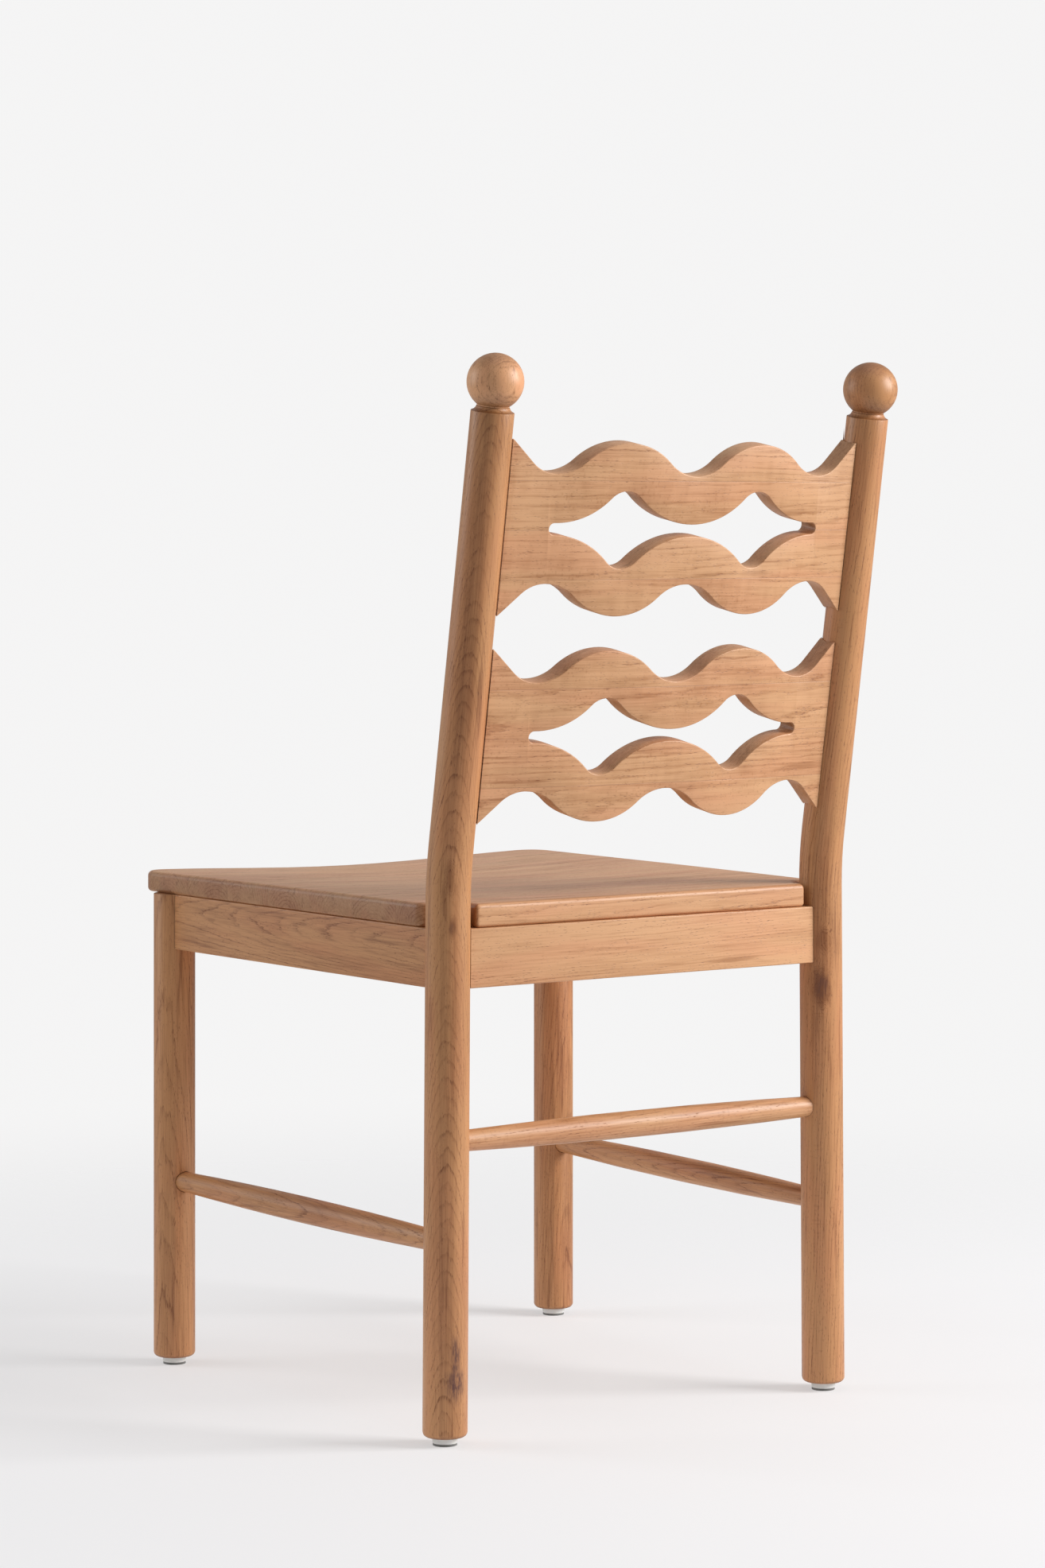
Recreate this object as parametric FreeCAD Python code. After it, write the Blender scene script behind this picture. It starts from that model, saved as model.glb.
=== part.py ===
import FreeCAD, Part
import math
import os

from FreeCAD import Placement, Rotation, Vector

# Dining chair with a pierced, bowed two-panel back. Millimetres, +Z up, the
# sitter faces -Y and the sitter's left is +X. Origin: floor, middle of the chair.

# Fits
FIT = 0.3            # air left round every tenon, stretcher end, dowel and screw
END_GAP = 0.6        # air past the end of a tenon or dowel

# Where the legs stand
REAR_Y = 192.5       # rear leg axes behind the origin
LEG_DEPTH = 431.5    # front leg axes to rear leg axes
FRONT_HALF = 212.8   # front leg axis from the middle
REAR_HALF_FOOT = 202.6   # rear leg axis from the middle, at the floor
REAR_HALF = 199.3    # the same from the bend upwards
LEG_D = 38.0
FOOT_ROUND = 4.5     # rounding of the lower edge of a leg

# Back posts
BEND_Z = 475.0       # height where the two straight axes would meet
BEND_R = 300.0
RAKE = 9.61          # degrees
POST_LENGTH = 394.6  # from the bend point to the upper arris, along the slope
POST_TOP_D = 36.6
COVE_H = 4.2         # height of the turned cove over the arris
COVE_SAG = 0.9       # how far the cove is hollowed
NECK_D = 28.0

# Ball finials
BALL_D = 47.8
NECK_H = 1.0         # straight neck between cove and ball
DOWEL_D = 12.0
DOWEL_LENGTH = 26.0

# Aprons and their tenons
APRON_TOP = 431.5
APRON_H = 50.0
APRON_T = 20.0
APRON_EASE = 1.2
TENON_T = 8.0
TENON_SHOULDER = 6.0   # bare wood over and under a tenon
TENON_STOP = 7.0       # tenon end to leg axis

# Round stretchers
SIDE_STRETCHER_Z = 168.5
REAR_STRETCHER_Z = 252.9
STRETCHER_END_D = 18.0
STRETCHER_MID_D = 23.0
STRETCHER_STOP = 6.0   # stretcher end to leg axis

# Seat board
SEAT_T = 20.5
SEAT_FRONT_OVERHANG = 47.5   # front edge ahead of the front leg axes
SEAT_SIDE_OVER = 10.5        # side edge outside the line of the leg axes
SEAT_REAR_OVER = 8.0         # rear edge behind the rear leg axes
SEAT_CORNER_R = 25.0
SEAT_TOP_ROUND = 4.5
SEAT_LOW_ROUND = 3.5
NOTCH_GAP = 5.5              # air round a post in the seat notch
NOTCH_SIDE_R = 10.0
NOTCH_REAR_R = 3.0
DISH_DEPTH = 8.0             # pull of the hollow on the top surface
FRONT_FALL = 1.7             # pull at the front edge

# Back panels
PANEL_T = 20.0
PANEL_BOW_R = 1041.7         # rear face
PANEL_BACK_OFFSET = 25.2     # rear face behind the post axes, in the middle
UPPER_PANEL_DROP = 96.1      # arris of the post down to the upper centre line
PANEL_PITCH = 177.3          # one centre line to the other, along the slope
CREST_H = 73.8               # crest above the centre line
VALLEY_H = 46.6
CREST_U = 70.0
VALLEY_U = 139.5
CREST_R = 62.0
HORN_ANGLE = 44.0            # degrees, rise towards the post
HORN_VALLEY_R = 31.5         # hollow on the post's side of the outer valley
HORN_TIP_R = 2.5
HORN_SINK = 0.5              # outline past the skin of the post
EYE_APEX_U = 69.5
EYE_APEX_H = 33.0
EYE_APEX_R = 20.0
EYE_WAIST = 5.0              # half the slit in the middle and at its ends
EYE_END_U = 136.5
PANEL_TENON_H = 100.0

# Corner blocks
BLOCK_NEAR = 30.0            # along each apron from the leg axis
BLOCK_FAR = 64.0
BLOCK_H = 24.0

# Wood screws
SCREW_D = 4.0
SCREW_HEAD_D = 8.0
SCREW_HEAD_H = 2.6
SCREW_BITE = 12.0            # wood gripped past the block
BLOCK_SCREW_GRIP = 14.0      # screw inside the block
BLOCK_SCREW_AT = 45.0        # along the apron from the leg axis
SEAT_SCREW_GRIP = 18.0

# Glides
GLIDE_D = 22.0
GLIDE_H = 5.0
FELT_D = 20.6
FELT_H = 2.0
NAIL_D = 2.4
NAIL_HEAD_D = 7.0
NAIL_HEAD_H = 1.2
NAIL_LENGTH = 20.0

LEG_R = LEG_D / 2
FRONT_Y = REAR_Y - LEG_DEPTH
FOOT_Z = FELT_H + GLIDE_H
APRON_LOW = APRON_TOP - APRON_H
APRON_MID = APRON_TOP - APRON_H / 2
SEAT_TOP = APRON_TOP + SEAT_T
SEAT_FRONT_Y = FRONT_Y - SEAT_FRONT_OVERHANG
SEAT_REAR_Y = REAR_Y + SEAT_REAR_OVER
RAKE_RAD = math.radians(RAKE)
UPPER_PANEL_V = POST_LENGTH - UPPER_PANEL_DROP   # above the bend point
LOWER_PANEL_V = UPPER_PANEL_V - PANEL_PITCH


# Small helpers
def rod(start, end, r_start, r_end=None):
    along = end - start
    if r_end is None or abs(r_end - r_start) < 1e-6:
        return Part.makeCylinder(r_start, along.Length, start, along)
    return Part.makeCone(r_start, r_end, along.Length, start, along)


def spin(points, base, axis):
    """Turn a closed outline of (radius, height) points about an axis."""
    wire = Part.makePolygon([Vector(r, 0, h) for r, h in points + points[:1]])
    solid = Part.Face(wire).revolve(Vector(), Vector(0, 0, 1), 360)
    solid.Placement = Placement(base, Rotation(Vector(0, 0, 1), axis))
    return solid


def beam_box(a, b, s0, s1, half, z0, z1):
    """Upright box along the plan line a-b, from s0 to s1 measured from a."""
    box = Part.makeBox(s1 - s0, 2 * half, z1 - z0, Vector(s0, -half, z0))
    turn = math.degrees(math.atan2(b.y - a.y, b.x - a.x))
    box.Placement = Placement(Vector(a.x, a.y, 0), Rotation(Vector(0, 0, 1), turn))
    return box


def edges_where(shape, test):
    return [e for e in shape.Edges if test(e)]


def mirrored(shape):
    return shape.mirror(Vector(), Vector(1, 0, 0))


def cut_all(shape, tools):
    for tool in tools:
        shape = shape.cut(tool)
    return shape


# Axes of the four legs
def rear_x(z):
    return REAR_HALF_FOOT + (REAR_HALF - REAR_HALF_FOOT) * z / BEND_Z


def rear_axis(z, side=1):
    return Vector(side * rear_x(z), REAR_Y, z)


def front_axis(z, side=1):
    return Vector(side * FRONT_HALF, FRONT_Y, z)


def slope_point(v, side=1, u=REAR_HALF):
    """Point on the raked line, v above the bend point."""
    rise = Vector(0, math.sin(RAKE_RAD), math.cos(RAKE_RAD))
    return Vector(side * u, REAR_Y, BEND_Z) + rise * v


# Front leg and back post
def post_body(grow=0.0):
    """Bent back post on the left: straight foot, round bend, tapered upper part."""
    r = LEG_R + grow
    foot = rear_axis(FOOT_Z)
    knee = rear_axis(BEND_Z)
    down = (rear_axis(0) - knee).normalize()
    up = (slope_point(1) - knee).normalize()
    turn = math.pi - down.getAngle(up)
    reach = BEND_R * math.tan(turn / 2)
    t1 = knee + down * reach
    t2 = knee + up * reach
    inward = (down + up).normalize()
    middle = knee + inward * (BEND_R / math.cos(turn / 2) - BEND_R)
    path = Part.Wire(Part.Arc(t1, middle, t2).toShape())
    ring = Part.Wire(Part.makeCircle(r, t1, down))
    bend = path.makePipeShell([ring], True, True)
    lower = rod(foot + down * r, t1, r)
    upper = rod(t2, slope_point(POST_LENGTH), r, POST_TOP_D / 2 + grow)
    floor = Part.makeBox(4 * r, 4 * r, 4 * r, foot - Vector(2 * r, 2 * r, 4 * r))
    return lower.fuse([bend, upper]).removeSplitter().cut(floor)


def foot_rounded(shape):
    low = edges_where(shape, lambda e: e.BoundBox.ZMax < FOOT_Z + 1)
    return shape.makeFillet(FOOT_ROUND, low)


def mortise(a, b, shoulder=TENON_SHOULDER):
    return beam_box(a, b, TENON_STOP - END_GAP, LEG_R + 6, TENON_T / 2 + FIT,
                    APRON_LOW + shoulder - FIT, APRON_TOP - shoulder + FIT)


def stretcher_bore(a, b):
    along = (b - a).normalize()
    start = a + along * (STRETCHER_STOP - END_GAP)
    return rod(start, a + along * (LEG_R + 6), STRETCHER_END_D / 2 + FIT)


def nail_hole(x, y):
    top = FELT_H + NAIL_HEAD_H + NAIL_LENGTH + END_GAP
    return rod(Vector(x, y, 0), Vector(x, y, top), NAIL_D / 2 + FIT)


def front_leg():
    body = foot_rounded(rod(front_axis(FOOT_Z), front_axis(APRON_TOP), LEG_R))
    cuts = [
        mortise(front_axis(0), rear_axis(APRON_MID)),
        mortise(front_axis(0), front_axis(0, -1)),
        stretcher_bore(front_axis(SIDE_STRETCHER_Z), rear_axis(SIDE_STRETCHER_Z)),
        nail_hole(FRONT_HALF, FRONT_Y),
    ]
    return cut_all(body, cuts)


def post_cove():
    """Turned cove that leads from the upper arris of the post in to the neck."""
    wide = POST_TOP_D / 2
    slim = NECK_D / 2
    slope = math.hypot(wide - slim, COVE_H)
    middle = Vector((wide + slim) / 2 - COVE_SAG * COVE_H / slope, 0,
                    COVE_H / 2 - COVE_SAG * (wide - slim) / slope)
    arc = Part.Arc(Vector(slim, 0, COVE_H), middle, Vector(wide, 0, 0)).toShape()
    corners = [(wide, 0), (0, 0), (0, COVE_H), (slim, COVE_H)]
    lines = Part.makePolygon([Vector(x, 0, z) for x, z in corners])
    outline = Part.Wire(Part.__sortEdges__(lines.Edges + [arc]))
    solid = Part.Face(outline).revolve(Vector(), Vector(0, 0, 1), 360)
    solid.Placement = Placement(slope_point(POST_LENGTH), Rotation(Vector(1, 0, 0), -RAKE))
    return solid


def rear_post():
    body = foot_rounded(post_body()).fuse(post_cove())
    crown = POST_LENGTH + COVE_H
    cuts = [
        mortise(rear_axis(APRON_MID), front_axis(0)),
        mortise(rear_axis(APRON_MID), rear_axis(APRON_MID, -1)),
        stretcher_bore(rear_axis(SIDE_STRETCHER_Z), front_axis(SIDE_STRETCHER_Z)),
        stretcher_bore(rear_axis(REAR_STRETCHER_Z), rear_axis(REAR_STRETCHER_Z, -1)),
        rod(slope_point(crown - DOWEL_LENGTH - END_GAP), slope_point(crown + 1),
            DOWEL_D / 2 + FIT),
        nail_hole(rear_x(0), REAR_Y),
        panel_tenon(LOWER_PANEL_V, FIT),
        panel_tenon(UPPER_PANEL_V, FIT),
    ]
    return cut_all(body, cuts)


def finial():
    """Turned ball on a short neck, with the dowel that goes down the post."""
    neck = NECK_D / 2 - FIT
    ball = BALL_D / 2
    centre = NECK_H + math.sqrt(ball * ball - neck * neck)
    r = DOWEL_D / 2
    corners = [(0, centre + ball), (0, -DOWEL_LENGTH), (r - 1, -DOWEL_LENGTH),
               (r, 1 - DOWEL_LENGTH), (r, 0), (neck, 0), (neck, NECK_H)]
    lines = Part.makePolygon([Vector(x, 0, z) for x, z in corners])
    arc = Part.Arc(Vector(neck, 0, NECK_H), Vector(ball, 0, centre),
                   Vector(0, 0, centre + ball)).toShape()
    outline = Part.Wire(Part.__sortEdges__(lines.Edges + [arc]))
    solid = Part.Face(outline).revolve(Vector(), Vector(0, 0, 1), 360)
    base = slope_point(POST_LENGTH + COVE_H)
    solid.Placement = Placement(base, Rotation(Vector(1, 0, 0), -RAKE))
    return solid


# Aprons and stretchers
def apron(a, b, legs):
    """Flat rail between two leg axes, hollowed to the round legs, one tenon each end."""
    length = (b - a).Length
    body = beam_box(a, b, 0, length, APRON_T / 2, APRON_LOW, APRON_TOP)
    long_edges = edges_where(body, lambda e: e.Length > length - 1)
    body = cut_all(body.makeFillet(APRON_EASE, long_edges), legs)
    low = APRON_LOW + TENON_SHOULDER
    high = APRON_TOP - TENON_SHOULDER
    for p, q in ((a, b), (b, a)):
        tongue = beam_box(p, q, TENON_STOP, LEG_R + 4, TENON_T / 2, low, high)
        body = body.fuse(tongue)
    return body.removeSplitter()


def flat(point):
    return Vector(point.x, point.y, 0)


def stretcher(a, b):
    """Round rail, thickest in the middle, with straight ends inside the legs."""
    length = (b - a).Length
    r = STRETCHER_END_D / 2
    s0 = STRETCHER_STOP
    s1 = LEG_R
    swell = Part.Arc(Vector(r, 0, s1), Vector(STRETCHER_MID_D / 2, 0, length / 2),
                     Vector(r, 0, length - s1)).toShape()
    corners = [(r, length - s1), (r, length - s0 - 1), (r - 1, length - s0), (0, length - s0),
               (0, s0), (r - 1, s0), (r, s0 + 1), (r, s1)]
    lines = Part.makePolygon([Vector(x, 0, z) for x, z in corners])
    outline = Part.Wire(Part.__sortEdges__(lines.Edges + [swell]))
    solid = Part.Face(outline).revolve(Vector(), Vector(0, 0, 1), 360)
    solid.Placement = Placement(a, Rotation(Vector(0, 0, 1), b - a))
    return solid


# Seat board
def seat_half(y):
    """Half width of the seat, along the line of the leg axes."""
    x_rear = rear_x(APRON_MID)
    share = (REAR_Y - y) / LEG_DEPTH
    return x_rear + (FRONT_HALF - x_rear) * share + SEAT_SIDE_OVER


def seat_blank():
    """Tapered board with round front corners and a round notch for each post."""
    xf = seat_half(SEAT_FRONT_Y)
    xr = seat_half(SEAT_REAR_Y)
    plan = [(-xf, SEAT_FRONT_Y), (xf, SEAT_FRONT_Y), (xr, SEAT_REAR_Y), (-xr, SEAT_REAR_Y)]
    wire = Part.makePolygon([Vector(x, y, APRON_TOP) for x, y in plan + plan[:1]])
    board = Part.Face(wire).extrude(Vector(0, 0, SEAT_T + 10))
    front = edges_where(board, lambda e: upright(e) and e.CenterOfMass.y < FRONT_Y)
    board = board.makeFillet(SEAT_CORNER_R, front)
    r = LEG_R + NOTCH_GAP
    for side in (1, -1):
        board = board.cut(Part.makeCylinder(r, SEAT_TOP, rear_axis(APRON_TOP, side)))
    outer = edges_where(board, lambda e: notch_edge(e, False))
    board = board.makeFillet(NOTCH_SIDE_R, outer)
    inner = edges_where(board, lambda e: notch_edge(e, True))
    return board.makeFillet(NOTCH_REAR_R, inner)


def upright(edge):
    box = edge.BoundBox
    return box.ZLength > SEAT_T and box.XLength < 0.01 and box.YLength < 0.01


def notch_edge(edge, at_rear):
    spot = edge.CenterOfMass
    on_rear = abs(spot.y - SEAT_REAR_Y) < 0.01
    return upright(edge) and spot.y > REAR_Y - 60 and on_rear == at_rear


def hollow_cutter():
    """Everything over the top surface, one smooth patch with a hollow in its middle."""
    half = seat_half(SEAT_FRONT_Y) * 1.15
    across = [0, 0, 0.12, 1, 1.15, 1, 0.12, 0, 0]
    along = [1, 1, 1, 0.55, 0, 0]
    y0 = SEAT_FRONT_Y - 20
    y1 = SEAT_REAR_Y + 20
    rows = len(across) - 1
    columns = len(along) - 1
    top = Part.BezierSurface()
    top.increase(rows, columns)
    for i, a in enumerate(across):
        for j, b in enumerate(along):
            fall = FRONT_FALL if j < 2 else 0
            spot = Vector(half * (2 * i / rows - 1), y0 + (y1 - y0) * j / columns,
                          SEAT_TOP - DISH_DEPTH * a * b - fall)
            top.setPole(i + 1, j + 1, spot)
    return top.toShape().extrude(Vector(0, 0, 60))


def seat():
    board = seat_blank().cut(hollow_cutter())
    rim_top = edges_where(board, lambda e: e.BoundBox.ZMin > SEAT_TOP - DISH_DEPTH - 4)
    board = board.makeFillet(SEAT_TOP_ROUND, rim_top)
    rim_low = edges_where(board, lambda e: e.BoundBox.ZMax < APRON_TOP + 0.01)
    board = board.makeFillet(SEAT_LOW_ROUND, rim_low)
    return cut_all(board, [hole for shape, hole in seat_screws()])


# Back panels, drawn flat as (u, h) and set on the slope
def on_slope(shape, v):
    shape.Placement = Placement(slope_point(v, 1, 0), Rotation(Vector(1, 0, 0), 90 - RAKE))
    return shape


def wave(low, high, r_high):
    """Two tangent arcs from a valley to a crest; gives (centre, radius) of the valley."""
    du = abs(high[0] - low[0])
    dh = high[1] - low[1]
    both = (du * du + dh * dh) / (2 * dh)
    r_low = both - r_high
    return (low[0], low[1] + r_low), r_low


def touch(c_low, r_low, c_high, r_high):
    """Point where the valley arc meets the crest arc."""
    share = r_low / (r_low + r_high)
    return (c_low[0] + (c_high[0] - c_low[0]) * share,
            c_low[1] + (c_high[1] - c_low[1]) * share)


def arc_through(centre, r, p, q):
    """Arc from p to q about centre, over its nearer middle."""
    mid = Vector((p[0] + q[0]) / 2 - centre[0], (p[1] + q[1]) / 2 - centre[1], 0)
    mid = mid.normalize() * r + Vector(centre[0], centre[1], 0)
    return Part.Arc(Vector(p[0], p[1], 0), mid, Vector(q[0], q[1], 0)).toShape()


def panel_end():
    """Where the outline of a panel stops, just inside the post."""
    u = REAR_HALF - LEG_R
    behind = PANEL_BACK_OFFSET - u * u / (2 * PANEL_BOW_R)
    far = max(abs(behind), abs(behind - PANEL_T))
    return REAR_HALF - math.sqrt(max((POST_TOP_D / 2) ** 2 - far ** 2, 0)) + HORN_SINK


def quarter_crest():
    """Upper edge from the middle to the right-hand end."""
    crest = (CREST_U, CREST_H)
    c_crest = (CREST_U, CREST_H - CREST_R)
    c_mid, r_mid = wave((0, VALLEY_H), crest, CREST_R)
    c_out, r_out = wave((VALLEY_U, VALLEY_H), crest, CREST_R)
    t1 = touch(c_mid, r_mid, c_crest, CREST_R)
    t2 = touch(c_out, r_out, c_crest, CREST_R)
    rise = math.radians(HORN_ANGLE)
    c_horn = (VALLEY_U, VALLEY_H + HORN_VALLEY_R)
    t3 = (c_horn[0] + HORN_VALLEY_R * math.sin(rise), c_horn[1] - HORN_VALLEY_R * math.cos(rise))
    end_u = panel_end()
    corner = (end_u, t3[1] + (end_u - t3[0]) * math.tan(rise))
    reach = HORN_TIP_R * math.tan((math.pi / 2 + rise) / 2)
    t4 = (end_u - reach * math.cos(rise), corner[1] - reach * math.sin(rise))
    t5 = (end_u, corner[1] - reach)
    return [
        arc_through(c_mid, r_mid, (0, VALLEY_H), t1),
        arc_through(c_crest, CREST_R, t1, crest),
        arc_through(c_crest, CREST_R, crest, t2),
        arc_through(c_out, r_out, t2, (VALLEY_U, VALLEY_H)),
        arc_through(c_horn, HORN_VALLEY_R, (VALLEY_U, VALLEY_H), t3),
        Part.makeLine(Vector(t3[0], t3[1], 0), Vector(t4[0], t4[1], 0)),
        arc_through((end_u - HORN_TIP_R, t5[1]), HORN_TIP_R, t4, t5),
        Part.makeLine(Vector(end_u, t5[1], 0), Vector(end_u, 0, 0)),
    ]


def quarter_eye():
    """Opening from the middle slit over the apex to the round slit end."""
    apex = (EYE_APEX_U, EYE_APEX_H)
    c_apex = (EYE_APEX_U, EYE_APEX_H - EYE_APEX_R)
    c_mid, r_mid = wave((0, EYE_WAIST), apex, EYE_APEX_R)
    c_out, r_out = wave((EYE_END_U, EYE_WAIST), apex, EYE_APEX_R)
    t1 = touch(c_mid, r_mid, c_apex, EYE_APEX_R)
    t2 = touch(c_out, r_out, c_apex, EYE_APEX_R)
    tip = (EYE_END_U + EYE_WAIST, 0)
    return [
        arc_through(c_mid, r_mid, (0, EYE_WAIST), t1),
        arc_through(c_apex, EYE_APEX_R, t1, t2),
        arc_through(c_out, r_out, t2, (EYE_END_U, EYE_WAIST)),
        arc_through((EYE_END_U, 0), EYE_WAIST, (EYE_END_U, EYE_WAIST), tip),
    ]


def four_ways(quarter):
    """Closed outline from one quarter, by mirroring up-down and left-right."""
    edges = []
    for edge in quarter:
        low = edge.mirror(Vector(), Vector(0, 1, 0))
        for part in (edge, low):
            edges += [part, mirrored(part)]
    return Part.Wire(Part.__sortEdges__(edges))


def bowed_slab():
    """Curved board, long enough to reach into both posts."""
    centre = PANEL_BOW_R - PANEL_BACK_OFFSET
    wide = math.asin(REAR_HALF / PANEL_BOW_R)

    def spot(r, angle):
        return Vector(r * math.sin(angle), -CREST_H - 60, centre - r * math.cos(angle))

    r1 = PANEL_BOW_R
    r2 = PANEL_BOW_R - PANEL_T
    edges = [
        Part.Arc(spot(r1, -wide), spot(r1, 0), spot(r1, wide)).toShape(),
        Part.makeLine(spot(r1, wide), spot(r2, wide)),
        Part.Arc(spot(r2, wide), spot(r2, 0), spot(r2, -wide)).toShape(),
        Part.makeLine(spot(r2, -wide), spot(r1, -wide)),
    ]
    return Part.Face(Part.Wire(edges)).extrude(Vector(0, 2 * CREST_H + 120, 0))


def panel_tenon(v, grow=0.0):
    """Tongue at the left end of a panel, or with grow the mortise for it."""
    u1 = REAR_HALF - TENON_STOP
    bow = (PANEL_BACK_OFFSET - PANEL_T / 2) - (u1 * u1) / (2 * PANEL_BOW_R)
    u0 = REAR_HALF - LEG_R - 6
    half = TENON_T / 2 + grow
    tall = PANEL_TENON_H / 2 + grow
    stop = END_GAP if grow else 0
    box = Part.makeBox(u1 - u0 + stop, 2 * tall, 2 * half, Vector(u0, -tall, -bow - half))
    return on_slope(box, v)


def back_panel(v):
    reach = Vector(0, 0, PANEL_BACK_OFFSET + PANEL_T + 40)
    outline = Part.Face(four_ways(quarter_crest())).extrude(reach * 2)
    eye = Part.Face(four_ways(quarter_eye())).extrude(reach * 2)
    block = outline.cut(eye)
    block.translate(reach * -1)
    body = on_slope(bowed_slab().common(block), v)
    post = post_body(FIT)
    body = body.cut(post).cut(mirrored(post))
    tenon = panel_tenon(v)
    return body.fuse([tenon, mirrored(tenon)]).removeSplitter()


# Screws, blocks and glides
def screw(head, along, length):
    """Flat-headed wood screw; head is the middle of its outer face."""
    r = SCREW_D / 2
    wide = SCREW_HEAD_D / 2
    points = [(0, 0), (wide, 0), (wide, SCREW_HEAD_H), (r, SCREW_HEAD_H),
              (r, length - SCREW_D), (0, length)]
    return spin(points, head, along)


def screw_hole(head, along, length, open_by):
    r = SCREW_D / 2 + FIT
    wide = SCREW_HEAD_D / 2 + FIT
    points = [(0, -open_by), (wide, -open_by), (wide, SCREW_HEAD_H), (r, SCREW_HEAD_H),
              (r, length + END_GAP), (0, length + END_GAP)]
    return spin(points, head, along)


def corners():
    """Axis, direction along the side apron, direction along the cross apron."""
    found = []
    for side in (1, -1):
        front = flat(front_axis(0, side))
        rear = flat(rear_axis(APRON_MID, side))
        across = Vector(-side, 0, 0)
        found.append((front, (rear - front).normalize(), across))
        found.append((rear, (front - rear).normalize(), across))
    return found


def inward(along, other):
    """Unit vector square to along, on the side that other points to."""
    square = Vector(-along.y, along.x, 0)
    return square if square.dot(other) > 0 else square * -1


def block_screws(corner):
    axis, side, cross = corner
    made = []
    for along, other in ((side, cross), (cross, side)):
        n = inward(along, other)
        height = Vector(0, 0, APRON_TOP - BLOCK_H / 2)
        face = axis + along * BLOCK_SCREW_AT + n * (APRON_T / 2) + height
        head = face + n * BLOCK_SCREW_GRIP
        length = BLOCK_SCREW_GRIP + SCREW_BITE
        made.append((screw(head, n * -1, length), screw_hole(head, n * -1, length, 20)))
    return made


def seat_screws():
    made = []
    for axis, side, cross in corners():
        away = (BLOCK_NEAR + BLOCK_FAR + APRON_T) / 4
        head = axis + (side + cross) * away + Vector(0, 0, APRON_TOP - SEAT_SCREW_GRIP)
        length = SEAT_SCREW_GRIP + SCREW_BITE
        up = Vector(0, 0, 1)
        made.append((screw(head, up, length), screw_hole(head, up, length, BLOCK_H)))
    return made


def corner_block(corner, seat_hole):
    axis, side, cross = corner
    n_side = inward(side, cross) * (APRON_T / 2)
    n_cross = inward(cross, side) * (APRON_T / 2)
    base = axis + Vector(0, 0, APRON_TOP - BLOCK_H)
    plan = [base + side * BLOCK_NEAR + n_side, base + cross * BLOCK_NEAR + n_cross,
            base + cross * BLOCK_FAR + n_cross, base + side * BLOCK_FAR + n_side]
    body = Part.Face(Part.makePolygon(plan + plan[:1])).extrude(Vector(0, 0, BLOCK_H))
    return cut_all(body, [hole for shape, hole in block_screws(corner)] + [seat_hole])


def glide_base(x, y):
    r = GLIDE_D / 2
    base = Part.makeCone(r - 0.6, r, GLIDE_H, Vector(x, y, FELT_H))
    head = rod(Vector(x, y, 0), Vector(x, y, FELT_H + NAIL_HEAD_H + FIT), NAIL_HEAD_D / 2 + FIT)
    return base.cut(head).cut(nail_hole(x, y))


def glide_felt(x, y):
    return Part.makeCylinder(FELT_D / 2, FELT_H, Vector(x, y, 0))


def glide_nail(x, y):
    r = NAIL_D / 2
    tip = NAIL_HEAD_H + NAIL_LENGTH
    points = [(0, 0), (NAIL_HEAD_D / 2, 0), (NAIL_HEAD_D / 2, NAIL_HEAD_H), (r, NAIL_HEAD_H),
              (r, tip - 3), (0, tip)]
    return spin(points, Vector(x, y, FELT_H), Vector(0, 0, 1))


# Whole chair
def aprons():
    front = rod(front_axis(0), front_axis(600), LEG_R + FIT)
    rear = post_body(FIT)
    left = apron(flat(front_axis(0)), flat(rear_axis(APRON_MID)), [front, rear])
    across = apron(flat(front_axis(0, -1)), flat(front_axis(0)), [front, mirrored(front)])
    behind = apron(flat(rear_axis(APRON_MID, -1)), flat(rear_axis(APRON_MID)),
                   [rear, mirrored(rear)])
    made = {"left_side_apron": left, "right_side_apron": mirrored(left),
            "front_apron": across, "rear_apron": behind}
    holes = [hole for corner in corners() for shape, hole in block_screws(corner)]
    return {name: cut_all(shape, holes) for name, shape in made.items()}


def stretchers():
    z = SIDE_STRETCHER_Z
    side = stretcher(front_axis(z), rear_axis(z))
    z = REAR_STRETCHER_Z
    rear = stretcher(rear_axis(z, -1), rear_axis(z))
    return {"left_stretcher": side, "right_stretcher": mirrored(side), "rear_stretcher": rear}


def fixings():
    blocks = ("front_left_corner_block", "rear_left_corner_block",
              "front_right_corner_block", "rear_right_corner_block")
    made = {}
    up_screws = seat_screws()
    side_screws = []
    for name, corner, (shape, hole) in zip(blocks, corners(), up_screws):
        made[name] = corner_block(corner, hole)
        side_screws += [s for s, h in block_screws(corner)]
    made["corner_block_screws"] = Part.makeCompound(side_screws)
    made["seat_screws"] = Part.makeCompound([s for s, h in up_screws])
    return made


def glides():
    made = {}
    nails = []
    spots = {"front_left": (FRONT_HALF, FRONT_Y), "front_right": (-FRONT_HALF, FRONT_Y),
             "rear_left": (rear_x(0), REAR_Y), "rear_right": (-rear_x(0), REAR_Y)}
    for name, (x, y) in spots.items():
        made[name + "_glide"] = glide_base(x, y)
        made[name + "_glide_pad"] = glide_felt(x, y)
        nails.append(glide_nail(x, y))
    made["glide_nails"] = Part.makeCompound(nails)
    return made


def chair():
    made = {}
    for name, shape in (("front_leg", front_leg()), ("rear_post", rear_post()),
                        ("finial", finial())):
        made["left_" + name] = shape
        made["right_" + name] = mirrored(shape)
    made.update(aprons())
    made.update(stretchers())
    made["seat_board"] = seat()
    made["lower_back_panel"] = back_panel(LOWER_PANEL_V)
    made["upper_back_panel"] = back_panel(UPPER_PANEL_V)
    made.update(fixings())
    made.update(glides())
    return made


os.makedirs("parts", exist_ok=True)
for node, shape in chair().items():
    shape.exportStep("parts/%s.step" % node)
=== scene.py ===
import math

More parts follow.
